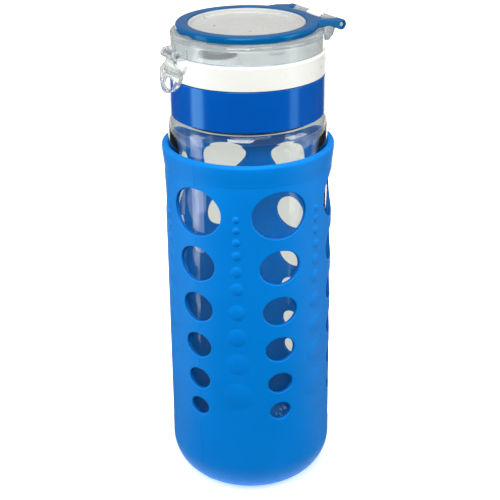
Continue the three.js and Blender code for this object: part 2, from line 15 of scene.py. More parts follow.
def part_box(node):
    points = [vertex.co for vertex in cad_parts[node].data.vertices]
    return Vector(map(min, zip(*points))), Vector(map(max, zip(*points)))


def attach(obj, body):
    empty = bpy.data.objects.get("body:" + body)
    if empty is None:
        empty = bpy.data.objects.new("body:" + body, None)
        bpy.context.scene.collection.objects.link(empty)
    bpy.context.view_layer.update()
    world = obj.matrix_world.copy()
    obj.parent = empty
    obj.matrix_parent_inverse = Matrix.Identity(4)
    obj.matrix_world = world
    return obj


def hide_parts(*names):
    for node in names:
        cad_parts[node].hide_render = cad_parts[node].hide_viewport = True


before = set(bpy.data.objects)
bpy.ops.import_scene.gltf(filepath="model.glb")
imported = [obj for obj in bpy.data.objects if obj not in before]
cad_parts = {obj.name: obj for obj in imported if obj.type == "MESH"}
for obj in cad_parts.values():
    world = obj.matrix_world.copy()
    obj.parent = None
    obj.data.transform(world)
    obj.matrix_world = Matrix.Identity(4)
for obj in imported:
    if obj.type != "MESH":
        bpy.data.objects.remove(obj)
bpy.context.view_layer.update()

MM = 0.001
TINY = 1e-6
ROUND = 192  # sides of the large turned pieces
MEDIUM_ROUND = 96  # of the spout and its seal
SMALL_ROUND = 64  # of bosses and barrels
PIN_ROUND = 48  # of pins and the vent
CORNER, BEVEL = 6, 3  # steps in a rounded corner, and in a prism's rounded rims
HALF_EDGE = 0.49  # the share of an edge that one rounded corner may take
SINK = 0.2  # how far a joined feature reaches into its wall
PAST = 1.0  # how far a cutter reaches past the face it cuts
FLUSH = 0.05  # keeps the faces of two joined solids out of one plane


# -------- places in the frame


def span(node):
    """Lowest and highest corner of a CAD node, in millimetres."""
    low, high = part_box(node)
    return np.array(low) / MM, np.array(high) / MM


sleeve_high = span("silicone_sleeve")[1]
glass_low, glass_high = span("glass_bottle")
collar_low, collar_high = span("screw_collar")
gasket_low, gasket_high = span("neck_gasket")
cover_high = span("flip_cover")[1]
ring_high = span("carry_ring")[1]
seal_low, seal_high = span("spout_seal")
valve_low, valve_high = span("vent_valve")
hinge_low, hinge_high = span("hinge_pin")
latch_pin_low, latch_pin_high = span("latch_pin")
latch_low = span("latch")[0]

GAP = 0.3  # between pieces that touch in the real object

# glass
glass_radius = glass_high[0]
glass_bottom = glass_low[2]
neck_top = glass_high[2]
GLASS_WALL = 2.6
GLASS_BASE = 6.0
GLASS_CORNER = 16.6
PUNT_RADIUS, PUNT_DEPTH = 17.0, 1.6
NECK_RADIUS, NECK_BORE = 30.0, 27.4
NECK_HEIGHT = 20.1
NECK_FILLET = 0.5
BORE_FLARE = 0.4  # where the bore opens into the shoulder
SHOULDER_ROUND, SHOULDER_HEIGHT = 4.6, 5.0
SHOULDER_WALL, SHOULDER_THINNING = 1.3, 16.0
neck_foot = neck_top - NECK_HEIGHT
shoulder_start = neck_foot - SHOULDER_HEIGHT

# thread
THREAD_LEAD = 5.0
THREAD_DEPTH = 1.5
THREAD_PLAY = 0.4
THREAD_ROOT, THREAD_CREST = 2.6, 1.2  # widths
THREAD_TURNS = 1.6
THREAD_START = 5.1
THREAD_FADE = ROUND // 12  # steps over which a ridge fades at its ends
THREAD_KNEE = 0.8  # share of its depth where the crest starts to round

# sleeve
rim_radius = sleeve_high[0]
sleeve_top = sleeve_high[2]
SLEEVE_BEAD = 0.9
SLEEVE_WALL = 2.0
SLEEVE_BASE = 2.4
sleeve_radius = rim_radius - SLEEVE_BEAD
sleeve_inner = sleeve_radius - SLEEVE_WALL
sleeve_corner = GLASS_CORNER + GAP + SLEEVE_WALL
FLARE_HEIGHT, FLARE_LIP = 12.0, 1.4  # below the rim, where the wall starts and ends its flare
COLUMNS = 6
FIRST_COLUMN = 18.5  # degrees from the latch
WINDOW_ASPECT = 0.83
WINDOW_EDGE = 0.5  # radius of a window's edges
# A window's height and half-width, from the top row down.
WINDOWS = [(147.0, 13.2), (122.0, 9.8), (100.4, 8.4), (81.0, 7.2), (63.5, 6.1), (48.8, 5.1)]
CELL_EDGES = [161.0, 133.1, 110.6, 90.2, 71.8, 55.7, 41.5]  # between the rows of windows
WINDOWS_HIGH, WINDOWS_LOW = CELL_EDGES[0], CELL_EDGES[-1]
BUMPS = [  # height, radius, how far it stands out
    (146.2, 1.75, 0.62),
    (141.1, 1.85, 0.60),
    (135.3, 2.05, 0.58),
    (128.9, 2.45, 0.55),
    (121.2, 2.9, 0.52),
    (112.7, 3.4, 0.5),
    (100.9, 4.3, 0.5),
    (88.4, 5.0, 0.45),
    (74.7, 6.0, 0.41),
    (57.8, 7.5, 0.38),
]

# collar
collar_radius = collar_high[0]
collar_bottom, collar_top = collar_low[2], collar_high[2]
COLLAR_BORE = NECK_RADIUS + THREAD_DEPTH + THREAD_PLAY
REBATE_WIDTH, REBATE_DEPTH = 1.4, 3.7
REBATE_RADIUS = COLLAR_BORE + REBATE_WIDTH

# cap
band_bottom = collar_top + GAP
BAND_WALL, DECK_WALL = 2.5, 2.0
deck_bottom = gasket_high[2] + GAP
deck_top = deck_bottom + DECK_WALL
SPOUT_Y = -15.0
SPOUT_BORE, SPOUT_WALL, SPOUT_HEIGHT = 7.0, 2.0, 3.9
spout_top = deck_top + SPOUT_HEIGHT
VENT_Y, VENT_BORE = 16.0, 2.1
CATCH_HALF, CATCH_HEIGHT, CATCH_REACH, CATCH_BELOW = 6.0, 2.0, 1.9, 1.7

# cover
COVER_RADIUS, COVER_WALL, COVER_HEIGHT = 34.2, 1.8, 8.3
RIM_RADIUS, RIM_WALL, RIM_HEIGHT, DISC_HEIGHT = 26.0, 1.5, 3.1, 1.1
BOSS_RADIUS, BOSS_BORE = 5.0, 3.6  # under the cover, round the spout's seal
cover_top = cover_high[2]
cover_deck = cover_top - RIM_HEIGHT
cover_bottom = cover_deck - COVER_HEIGHT
cover_ceiling = cover_deck - COVER_WALL
band_top = cover_bottom - GAP
catch_top = band_top - CATCH_BELOW
catch_bottom = catch_top - CATCH_HEIGHT

# hinge
hinge_y = (hinge_low[1] + hinge_high[1]) / 2
hinge_z = (hinge_low[2] + hinge_high[2]) / 2
BARREL, PIN_HOLE = 2.4, 1.4
# Where each knuckle starts and ends along the pin, on both sides of the middle.
CAP_KNUCKLE, COVER_KNUCKLE, RING_ARM = 5.0, (5.3, 14.7), (15.0, 19.7)
POST_CLEAR, POST_DEPTH = 0.5, 4.2  # the cap's post, from the cover's wall outwards
GUSSET_FOOT, GUSSET_RISE = 1.0, 2.0
ARM_FOOT = 0.85  # where an arm meets its barrel, as a share of the barrel's radius

# ring
ring_radius = ring_high[0]
ring_top = ring_high[2]
RING_WIDTH, RING_THICKNESS, RING_CHORD = 5.3, 3.1, 30.5
ring_bottom = ring_top - RING_THICKNESS
NOTCH_HALF, NOTCH_DEPTH = 5.5, 1.4  # thumb notch under the front
INSIDE = 4.0  # how far a ring reaches into the hole that is cut in it later

# latch
latch_y = (latch_pin_low[1] + latch_pin_high[1]) / 2
latch_z = (latch_pin_low[2] + latch_pin_high[2]) / 2
latch_tip = latch_low[2]
LATCH_BARREL, LATCH_HOLE, LATCH_HALF = 1.9, 1.1, 3.6
PADDLE_HALF, PADDLE_THICK, LATCH_FLARE = 8.8, 1.9, 2.6
LUG, LUG_RADIUS = (3.9, 5.6), 2.2
GRIP_HALF, GRIP_HEIGHT = 4.4, 5.0
PADDLE_BELOW_LUGS = 1.2
LATCH_VOXEL = 0.18


# -------- mesh helpers


def mesh_object(name, points, faces):
    mesh = bpy.data.meshes.new(name)
    mesh.from_pydata((np.asarray(points, float) * MM).tolist(), [], faces)
    mesh.update()
    made = bpy.data.objects.new(name, mesh)
    bpy.context.scene.collection.objects.link(made)
    return made


def tidy(obj, weld=1e-7):
    """Merges doubled points and turns every face outwards."""
    cloud = bmesh.new()
    cloud.from_mesh(obj.data)
    bmesh.ops.remove_doubles(cloud, verts=cloud.verts, dist=weld)
    bmesh.ops.recalc_face_normals(cloud, faces=cloud.faces)
    cloud.to_mesh(obj.data)
    cloud.free()
    return obj


def arc(x, y, radius_x, radius_y, start, end, steps):
    """Points on an elliptic arc between two angles in degrees."""
    angles = np.radians(np.linspace(start, end, steps + 1))
    return [(x + radius_x * math.cos(a), y + radius_y * math.sin(a)) for a in angles]


def ellipse(x, y, radius_x, radius_y, sides):
    return arc(x, y, radius_x, radius_y, 0, 360 * (1 - 1 / sides), sides - 1)


def filleted(corners, closed=True):
    """Corners are (x, y) or (x, y, radius), and a radius rounds its corner."""
    points = []
    count = len(corners)
    for i, corner in enumerate(corners):
        here = np.array(corner[:2], float)
        if len(corner) < 3 or (not closed and i in (0, count - 1)):
            points.append(tuple(here))
            continue
        before = np.array(corners[i - 1][:2], float) - here
        after = np.array(corners[(i + 1) % count][:2], float) - here
        lengths = np.linalg.norm(before), np.linalg.norm(after)
        before, after = before / lengths[0], after / lengths[1]
        half = math.acos(np.clip(before @ after, -1, 1)) / 2
        cut = min(corner[2] / math.tan(half), HALF_EDGE * min(lengths))
        radius = cut * math.tan(half)
        middle = (before + after) / np.linalg.norm(before + after)
        centre = here + middle * radius / math.sin(half)
        start = here + before * cut - centre
        end = here + after * cut - centre
        angle = math.atan2(start[1], start[0])
        turn = math.atan2(end[1], end[0]) - angle
        turn = (turn + math.pi) % (2 * math.pi) - math.pi
        for k in range(CORNER + 1):
            a = angle + turn * k / CORNER
            points.append((centre[0] + radius * math.cos(a), centre[1] + radius * math.sin(a)))
    return points


def eased(share):
    """A share from 0 to 1 that starts and stops smoothly."""
    return share * share * (3 - 2 * share)


def tube_faces(first, rows, sides):
    """Quads between rows of points that each go round once."""
    corners = [(r, i, (i + 1) % sides) for r in range(rows) for i in range(sides)]
    return [
        [first + r * sides + i, first + r * sides + j]
        + [first + (r + 1) * sides + j, first + (r + 1) * sides + i]
        for r, i, j in corners
    ]


def revolve(profile, angles, points, faces, ring=False, centre_y=0.0):
    """Adds a profile of (radius, height) points turned round an upright axis."""
    rows = []
    sides = len(angles)
    for radius, height in profile:
        if radius < TINY:
            rows.append([len(points)] * sides)
            points.append((0.0, centre_y, height))
        else:
            rows.append(list(range(len(points), len(points) + sides)))
            points += [
                (radius * math.sin(a), centre_y - radius * math.cos(a), height) for a in angles
            ]
    pairs = list(zip(rows, rows[1:])) + ([(rows[-1], rows[0])] if ring else [])
    for low, high in pairs:
        for i in range(sides):
            j = (i + 1) % sides
            corners = list(dict.fromkeys([low[i], low[j], high[j], high[i]]))
            if len(corners) > 2:
                faces.append(corners)


def lathe(name, profile, sides=ROUND, ring=False, centre_y=0.0):
    """A closed solid with the profile turned round an upright axis."""
    points, faces = [], []
    angles = [2 * math.pi * i / sides for i in range(sides)]
    revolve(profile, angles, points, faces, ring, centre_y)
    return tidy(mesh_object(name, points, faces))


def turned(name, corners, sides=ROUND, ring=False, centre_y=0.0):
    """A lathe whose corners may be rounded, as filleted takes them."""
    return lathe(name, filleted(corners, ring), sides, ring, centre_y)


def plug(name, radius, low, high, sides=ROUND, centre_y=0.0):
    """An upright cylinder."""
    profile = [(0, low), (radius, low), (radius, high), (0, high)]
    return lathe(name, profile, sides, centre_y=centre_y)


def ellipsoid(name, centre, radii, rows=24, sides=48):
    """A ball of three radii, cut flat just short of its poles."""
    points = [
        (
            centre[0] + radii[0] * math.cos(a) * math.cos(b),
            centre[1] + radii[1] * math.sin(a) * math.cos(b),
            centre[2] + radii[2] * math.sin(b),
        )
        for b in np.radians(np.linspace(-86, 86, rows + 1))
        for a in np.radians(np.linspace(0, 360, sides, endpoint=False))
    ]
    faces = tube_faces(0, rows, sides)
    faces += [list(range(sides)), [rows * sides + i for i in range(sides)]]
    return tidy(mesh_object(name, points, faces))


def prism(name, outline, low, high, axis, soft=0.0):
    """An outline in (y, z), (x, z) or (x, y), thick along X, Y or Z, with rounded rims."""
    place = {
        "X": lambda u, v, w: (w, u, v),
        "Y": lambda u, v, w: (u, w, v),
        "Z": lambda u, v, w: (u, v, w),
    }[axis]
    count = len(outline)
    points = [place(u, v, w) for w in (low, high) for u, v in outline]
    faces = [list(range(count)), list(range(count, 2 * count))]
    faces += [[i, (i + 1) % count, count + (i + 1) % count, count + i] for i in range(count)]
    made = tidy(mesh_object(name, points, faces))
    if soft > 0:
        cloud = bmesh.new()
        cloud.from_mesh(made.data)
        rims = [e for e in cloud.edges if any(len(f.verts) == count for f in e.link_faces)]
        shape = {"segments": BEVEL, "profile": 0.5, "affect": "EDGES", "clamp_overlap": True}
        bmesh.ops.bevel(cloud, geom=rims, offset=soft * MM, **shape)
        cloud.to_mesh(made.data)
        cloud.free()
    return made


def bar(name, radius, low, high, y, z, soft=0.0, sides=SMALL_ROUND):
    """A round bar along X."""
    return prism(name, ellipse(y, z, radius, radius, sides), low, high, "X", soft)


def applied(obj):
    bpy.context.view_layer.update()
    graph = bpy.context.evaluated_depsgraph_get()
    made = bpy.data.meshes.new_from_object(obj.evaluated_get(graph), depsgraph=graph)
    obj.modifiers.clear()
    obj.data = made
    return obj


def boolean(obj, operation, *tools):
    for tool in tools:
        modifier = obj.modifiers.new("boolean", "BOOLEAN")
        modifier.operation = operation
        modifier.object = tool
        modifier.solver = "MANIFOLD"
        applied(obj)
        bpy.data.objects.remove(tool)
    return obj


def join(obj, *tools):
    return boolean(obj, "UNION", *tools)


def cut(obj, *tools):
    return boolean(obj, "DIFFERENCE", *tools)


def shaded(obj, angle=32, weighted=True):
    """Smooth shading that keeps edges sharper than the angle."""
    obj.data.polygons.foreach_set("use_smooth", [True] * len(obj.data.polygons))
    obj.data.set_sharp_from_angle(angle=math.radians(angle))
    if weighted:
        modifier = obj.modifiers.new("normals", "WEIGHTED_NORMAL")
        modifier.keep_sharp = True
    return obj


def placed(obj, material, body, nodes):
    """Gives a piece its material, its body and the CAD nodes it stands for."""
    obj.data.materials.clear()
    obj.data.materials.append(material)
    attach(obj, body)
    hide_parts(*nodes)
    return obj


# -------- materials

NOISE_LOW, NOISE_HIGH = 0.3, 0.7  # where nearly all of the noise lies
GLASS_IOR, CLEAR_IOR, MOULDED_IOR = 1.5, 1.46, 1.48
# Scales are features per metre, depths are metres.
FLOW_SCALE, FLOW_STRENGTH, FLOW_DEPTH = 90.0, 0.25, 0.00012
GRAIN_SCALE, GRAIN_DEPTH = 2600.0, 0.00006
SMEAR_RATIO = 12  # of a moulding's smears to its blotches
WAVE_SCALE, WAVE_DEPTH = 70.0, 0.0002
HANDLED_SCALE = 160.0  # finger marks on the clear pieces


def linear(red, green, blue):
    """An 8-bit screen colour as the linear one that a shader takes."""
    return tuple(
        c / 12.92 if c <= 0.04045 else ((c + 0.055) / 1.055) ** 2.4
        for c in (red / 255, green / 255, blue / 255)
    ) + (1.0,)


def new_material(name):
    made = bpy.data.materials.new(name)
    made.use_nodes = True
    tree = made.node_tree
    shader = tree.nodes["Principled BSDF"]
    return made, tree, shader


def noise(tree, scale, detail=4.0, roughness=0.5, stretch=(1, 1, 1)):
    """Noise in the object's own metres, so that scale is features per metre."""
    place = tree.nodes.new("ShaderNodeTexCoord")
    mapping = tree.nodes.new("ShaderNodeMapping")
    mapping.inputs["Scale"].default_value = stretch
    texture = tree.nodes.new("ShaderNodeTexNoise")
    texture.inputs["Scale"].default_value = scale
    texture.inputs["Detail"].default_value = detail
    texture.inputs["Roughness"].default_value = roughness
    tree.links.new(place.outputs["Object"], mapping.inputs["Vector"])
    tree.links.new(mapping.outputs["Vector"], texture.inputs["Vector"])
    return texture.outputs["Fac"]


def ranged(tree, value, low, high):
    """Spreads noise, which lies about its middle, over a range."""
    node = tree.nodes.new("ShaderNodeMapRange")
    node.inputs["From Min"].default_value = NOISE_LOW
    node.inputs["From Max"].default_value = NOISE_HIGH
    node.inputs["To Min"].default_value = low
    node.inputs["To Max"].default_value = high
    tree.links.new(value, node.inputs["Value"])
    return node.outputs["Result"]


def mixed_colour(tree, factor, one, other):
    """A mix of two 8-bit screen colours."""
    node = tree.nodes.new("ShaderNodeMix")
    node.data_type = "RGBA"
    node.inputs["A"].default_value = linear(*one)
    node.inputs["B"].default_value = linear(*other)
    tree.links.new(factor, node.inputs["Factor"])
    return next(s for s in node.outputs if s.type == "RGBA")


def bumped(tree, height, strength, distance, shader, under=None):
    """Adds relief to a shader, over the relief that is under it."""
    node = tree.nodes.new("ShaderNodeBump")
    node.inputs["Strength"].default_value = strength
    node.inputs["Distance"].default_value = distance
    tree.links.new(height, node.inputs["Height"])
    if under is not None:
        tree.links.new(under, node.inputs["Normal"])
    tree.links.new(node.outputs["Normal"], shader.inputs["Normal"])
    return node.outputs["Normal"]


def moulded(name, colour, shade, roughness, gloss=0.5, grain=0.0, blotch=40.0, tint=(1, 1, 1)):
    """An opaque moulded plastic or rubber: slow colour drift, fine grain, uneven gloss.

    Its colour drifts between two 8-bit screen colours."""
    made, tree, shader = new_material(name)
    drift = ranged(tree, noise(tree, blotch, 3.0), 0.0, 1.0)
    tree.links.new(mixed_colour(tree, drift, colour, shade), shader.inputs["Base Color"])
    smear = noise(tree, blotch * SMEAR_RATIO, 5.0, 0.6)
    smear = ranged(tree, smear, roughness * 0.85, roughness * 1.15)
    tree.links.new(smear, shader.inputs["Roughness"])
    shader.inputs["IOR"].default_value = MOULDED_IOR
    shader.inputs["Specular IOR Level"].default_value = gloss
    shader.inputs["Specular Tint"].default_value = (*tint, 1.0)
    flow = bumped(tree, noise(tree, FLOW_SCALE, 2.0), FLOW_STRENGTH, FLOW_DEPTH, shader)
    if grain > 0:
        bumped(tree, noise(tree, GRAIN_SCALE, 3.0, 0.6), grain, GRAIN_DEPTH, shader, flow)
    return made


def see_through(name, colour, roughness, ior, wave, cloud=0.0, shade=None):
    """Clear glass or plastic with faint waves. Lamps shine through it, shade says how well.

    The cloud is the share of its surface that is milky."""
    made, tree, shader = new_material(name)
    shader.inputs["Base Color"].default_value = linear(*colour)
    shader.inputs["Transmission Weight"].default_value = 1.0 - cloud
    shader.inputs["IOR"].default_value = ior
    smear = noise(tree, HANDLED_SCALE, 5.0, 0.65)
    smear = ranged(tree, smear, roughness * 0.5, roughness * 1.6)
    tree.links.new(smear, shader.inputs["Roughness"])
    bumped(tree, noise(tree, WAVE_SCALE, 2.0, 0.4), wave, WAVE_DEPTH, shader)
    clear = tree.nodes.new("ShaderNodeBsdfTransparent")
    clear.inputs["Color"].default_value = linear(*(shade or colour))
    path = tree.nodes.new("ShaderNodeLightPath")
    mix = tree.nodes.new("ShaderNodeMixShader")
    output = tree.nodes["Material Output"]
    tree.links.new(path.outputs["Is Shadow Ray"], mix.inputs["Fac"])
    tree.links.new(shader.outputs["BSDF"], mix.inputs[1])
    tree.links.new(clear.outputs["BSDF"], mix.inputs[2])
    tree.links.new(mix.outputs["Shader"], output.inputs["Surface"])
    return made


def soft_clear(name):
    """Milky translucent silicone."""
    made, tree, shader = new_material(name)
    drift = ranged(tree, noise(tree, 120.0, 3.0), 0.0, 1.0)
    tint = mixed_colour(tree, drift, (228, 231, 228), (214, 219, 216))
    tree.links.new(tint, shader.inputs["Base Color"])
    shader.inputs["Subsurface Weight"].default_value = 0.6
    shader.inputs["Subsurface Scale"].default_value = 0.002
    shader.inputs["Subsurface Radius"].default_value = (1.0, 0.95, 0.9)
    shader.inputs["Transmission Weight"].default_value = 0.35
    tree.links.new(ranged(tree, noise(tree, 900.0), 0.35, 0.5), shader.inputs["Roughness"])
    bumped(tree, noise(tree, 1500.0, 3.0), 0.2, 0.00004, shader)
    return made


def turned_steel(name):
    """Drawn wire: fine scratches along the pin, and duller patches."""
    made, tree, shader = new_material(name)
    shader.inputs["Metallic"].default_value = 1.0
    drift = ranged(tree, noise(tree, 400.0, 4.0), 0.0, 1.0)
    tint = mixed_colour(tree, drift, (196, 198, 200), (164, 166, 170))
    tree.links.new(tint, shader.inputs["Base Color"])
    lines = noise(tree, 3000.0, 4.0, 0.6, (0.04, 1, 1))
    tree.links.new(ranged(tree, lines, 0.18, 0.36), shader.inputs["Roughness"])
    bumped(tree, lines, 0.25, 0.00003, shader)
    return made


BLUE_SHEEN = (0.2, 0.68, 1.0)  # pigment right up to the surface colours the gloss too
silicone_blue = moulded(
    "silicone_blue", (0, 130, 223), (0, 124, 215), 0.5, gloss=0.3, grain=0.35, tint=BLUE_SHEEN
)
# Painted shade: the windows' walls get a darker blue than the sleeve's face, standing in for the
# shade inside the holes.
silicone_edge_painted_shade = moulded("silicone_edge_painted_shade", (0, 88, 172), (0, 82, 164), 0.5, gloss=0.2, grain=0.35)
# Painted light: the inner face is a slightly lighter copy of the sleeve's blue, standing in for
# light that would come through the silicone.
silicone_inside_painted_light = moulded(
    "silicone_inside_painted_light", (10, 129, 227), (4, 123, 219), 0.5, gloss=0.2, grain=0.35
)
silicone_dark = moulded("silicone_dark", (26, 28, 33), (18, 20, 24), 0.45, grain=0.2)
collar_blue = moulded(
    "collar_blue", (0, 86, 181), (0, 81, 174), 0.16, gloss=1.0, grain=0.04, tint=BLUE_SHEEN
)
ring_blue = moulded(
    "ring_blue", (0, 88, 147), (0, 82, 139), 0.13, gloss=0.42, grain=0.05, tint=BLUE_SHEEN
)
plastic_white = moulded("plastic_white", (238, 239, 233), (233, 234, 228), 0.3, grain=0.08)
clear_glass = see_through(
    "clear_glass", (246, 251, 250), 0.012, GLASS_IOR, 0.08, shade=(255, 255, 255)
)
clear_plastic = see_through(
    "clear_plastic", (231, 236, 238), 0.06, CLEAR_IOR, 0.12, cloud=0.16, shade=(203, 209, 212)
)
latch_plastic = see_through("latch_plastic", (238, 242, 242), 0.04, CLEAR_IOR, 0.12, cloud=0.06)
frosted_plastic = see_through(
    "frosted_plastic", (214, 214, 211), 0.42, CLEAR_IOR, 0.12, cloud=0.6, shade=(215, 214, 210)
)
silicone_clear = soft_clear("silicone_clear")
steel = turned_steel("steel")


# -------- bottle


def thread_ridge(name, root, crest, start_height):
    """A helical ridge with a rounded crest that fades into the wall at both ends."""
    steps = round(THREAD_TURNS * ROUND)
    points = []
    for i in range(steps + 1):
        angle = 2 * math.pi * i / ROUND
        height = start_height + THREAD_LEAD * i / ROUND
        share = min(1.0, (min(i, steps - i) + 1) / THREAD_FADE)
        tip = root + (crest - root) * math.sin(share * math.pi / 2)
        knee = root + (tip - root) * THREAD_KNEE
        section = [
            (root, -THREAD_ROOT / 2),
            (knee, -THREAD_CREST / 2 - 0.15),
            (tip, -THREAD_CREST / 2 + 0.2),
            (tip, THREAD_CREST / 2 - 0.2),
            (knee, THREAD_CREST / 2 + 0.15),
            (root, THREAD_ROOT / 2),
        ]
        points += [(r * math.cos(angle), r * math.sin(angle), height + dz) for r, dz in section]
    size = len(section)
    faces = tube_faces(0, steps, size)
    faces.append(list(range(size)))
    faces.append([size * steps + k for k in range(size)])
    return tidy(mesh_object(name, points, faces))


def make_glass():
    inner = glass_radius - GLASS_WALL
    corner = GLASS_CORNER - GLASS_WALL
    floor = glass_bottom + GLASS_BASE
    profile = [(0, glass_bottom + PUNT_DEPTH)]
    profile += arc(0, glass_bottom, PUNT_RADIUS, PUNT_DEPTH, 80, 0, 10)
    outer = glass_radius - GLASS_CORNER
    profile += arc(outer, glass_bottom + GLASS_CORNER, GLASS_CORNER, GLASS_CORNER, -90, 0, 20)
    profile += arc(
        glass_radius - SHOULDER_ROUND, shoulder_start, SHOULDER_ROUND, SHOULDER_HEIGHT, 0, 90, 14
    )
    lip = (NECK_RADIUS - NECK_BORE) / 2
    fillet = NECK_FILLET
    profile += arc(NECK_RADIUS + fillet, neck_foot + fillet, fillet, fillet, 270, 180, 4)
    profile += arc(NECK_RADIUS - lip, neck_top - lip, lip, lip, 0, 180, 12)
    profile += [(NECK_BORE, neck_foot), (NECK_BORE + BORE_FLARE, neck_foot - SHOULDER_WALL)]
    profile += arc(
        glass_radius - SHOULDER_ROUND,
        shoulder_start,
        SHOULDER_ROUND - SHOULDER_WALL,
        SHOULDER_HEIGHT - SHOULDER_WALL,
        90,
        0,
        12,
    )
    for share in np.linspace(0, 1, 9)[1:]:  # the wall thickens smoothly below the shoulder
        wall = SHOULDER_WALL + (GLASS_WALL - SHOULDER_WALL) * eased(share)
        profile += [(glass_radius - wall, shoulder_start - SHOULDER_THINNING * share)]
    profile += arc(inner - corner, floor + corner, corner, corner, 0, -90, 18)
    profile += [(0, floor)]
    body = lathe("glass", profile)
    ridge = thread_ridge(
        "ridge", NECK_RADIUS - SINK, NECK_RADIUS + THREAD_DEPTH, neck_foot + THREAD_START
    )
    return shaded(join(body, ridge), 40, False)


def around(s, z, depth):
    """A point of the sleeve: s along its outer face from the latch, height, depth into it."""
    angle = s / sleeve_radius
    radius = sleeve_radius - depth
    return (radius * math.sin(angle), -radius * math.cos(angle), z)


CELL_X = 24  # steps across a column of windows
CELL_Z = 14  # steps down one window's cell
EVEN = 0.65  # how evenly a cell's lines are spread round its window


def window_cell(middle, height, half_width, top, bottom, points, faces):
    """The wall round one window, from the window's rounded edge out to a rectangle."""
    half_height = half_width * WINDOW_ASPECT
    side = sleeve_radius * math.pi / COLUMNS
    lower = [(-side + 2 * side * i / CELL_X, bottom) for i in range(CELL_X)]
    right = [(side, bottom + (top - bottom) * i / CELL_Z) for i in range(CELL_Z)]
    upper = [(side - 2 * side * i / CELL_X, top) for i in range(CELL_X)]
    left = [(-side, top - (top - bottom) * i / CELL_Z) for i in range(CELL_Z)]
    frame_points = lower + right + upper + left
    count = len(frame_points)
    aims = [math.atan2((z - height) / half_height, x / half_width) for x, z in frame_points]
    aims = np.unwrap(aims)
    even = np.linspace(aims[0], aims[0] + 2 * math.pi, count, endpoint=False)
    aims = (1 - EVEN) * aims + EVEN * even

    # Rings from the middle of the inner face, through the window, to the outer face.
    fillet = WINDOW_EDGE
    rings = []
    for t in (1.0, 0.75, 0.5, 0.3, 0.15, 0.05):
        rings.append((fillet, SLEEVE_WALL, t))
    for k in range(4):
        a = math.pi / 2 * k / 4
        rings.append((fillet * (1 - math.sin(a)), SLEEVE_WALL - fillet * (1 - math.cos(a)), 0.0))
    rings.append((0.0, SLEEVE_WALL - fillet, 0.0))
    rings.append((0.0, SLEEVE_WALL / 2, 0.0))
    for k in range(5):
        a = math.pi / 2 * k / 4
        rings.append((fillet * (1 - math.cos(a)), fillet * (1 - math.sin(a)), 0.0))
    for t in (0.04, 0.1, 0.2, 0.35, 0.5, 0.75, 1.0):
        rings.append((fillet, 0.0, t))

    first = len(points)
    for grow, depth, t in rings:
        for (x, z), aim in zip(frame_points, aims):
            near_x = (half_width + grow) * math.cos(aim)
            near_z = height + (half_height + grow) * math.sin(aim)
            points.append(
                around(middle + near_x + (x - near_x) * t, near_z + (z - near_z) * t, depth)
            )
    faces += tube_faces(first, len(rings) - 1, count)


def sleeve_profile(low, high):
    """The outer face from one height to another, with its flare towards the rim."""
    flare_foot = sleeve_top - FLARE_HEIGHT
    made = []
    for z in np.linspace(low, high, 12):
        share = np.clip((z - flare_foot) / (FLARE_HEIGHT - FLARE_LIP), 0, 1)
        made.append((sleeve_radius + SLEEVE_BEAD * eased(share), z))
    return made


def band_of_wall(profile, points, faces):
    """A profile turned round in step with the window cells."""
    sides = CELL_X * COLUMNS
    start = math.radians(FIRST_COLUMN) - math.pi / COLUMNS
    angles = [start + 2 * math.pi * i / sides for i in range(sides)]
    revolve(profile, angles, points, faces)


def dome(azimuth, height, radius, rise, points, faces):
    """A low round bump on the sleeve, closed underneath inside the wall."""
    rings, sides = 10, 40
    foot, root = 0.06, 0.7  # how far its edge and its underside lie inside the wall
    crown, skirt = 2.6, 1.3  # powers that shape its top and its edge
    middle = azimuth * sleeve_radius
    first = len(points)
    points.append(around(middle, height, -rise))
    for r in range(1, rings + 1):
        share = r / rings
        out = (rise + foot) * (1 - share**crown) ** skirt - foot
        for i in range(sides):
            a = 2 * math.pi * i / sides
            across, up = radius * share * math.cos(a), radius * share * math.sin(a)
            points.append(around(middle + across, height + up, -out))
    last = first + 1 + (rings - 1) * sides
    under = len(points)
    points.append(around(middle, height, root))
    for i in range(sides):
        j = (i + 1) % sides
        faces.append([first, first + 1 + i, first + 1 + j])
        faces.append([under, last + j, last + i])
        for r in range(rings - 1):
            a, b = first + 1 + r * sides + i, first + 1 + r * sides + j
            faces.append([a, a + sides, b + sides, b])


def seam(azimuth, profile, points, faces):
    """The mould's parting line, a flat thin ridge up the sleeve."""
    foot, crest = 0.75, 0.55  # half-widths
    lifted, sunk, root = 0.1, -0.1, -0.5
    across = [(-foot, sunk), (-crest, lifted), (crest, lifted), (foot, sunk)]
    across += [(foot, root), (-foot, root)]
    size = len(across)
    out = np.array([math.sin(azimuth), -math.cos(azimuth)])
    side = np.array([math.cos(azimuth), math.sin(azimuth)])
    first = len(points)
    for k, (radius, z) in enumerate(profile):
        before, after = profile[max(k - 1, 0)], profile[min(k + 1, len(profile) - 1)]
        along = np.array([after[0] - before[0], after[1] - before[1]])
        along = along / np.linalg.norm(along)
        between = 0 < k < len(profile) - 1
        for s, lift in across:
            lift = lift if between else min(lift, sunk)
            r = radius + lift * along[1]
            flat = out * r + side * s
            points.append((flat[0], flat[1], z - lift * along[0]))
    faces += tube_faces(first, len(profile) - 1, size)
    faces.append([first + i for i in range(size)])
    faces.append([len(points) - size + i for i in range(size)])


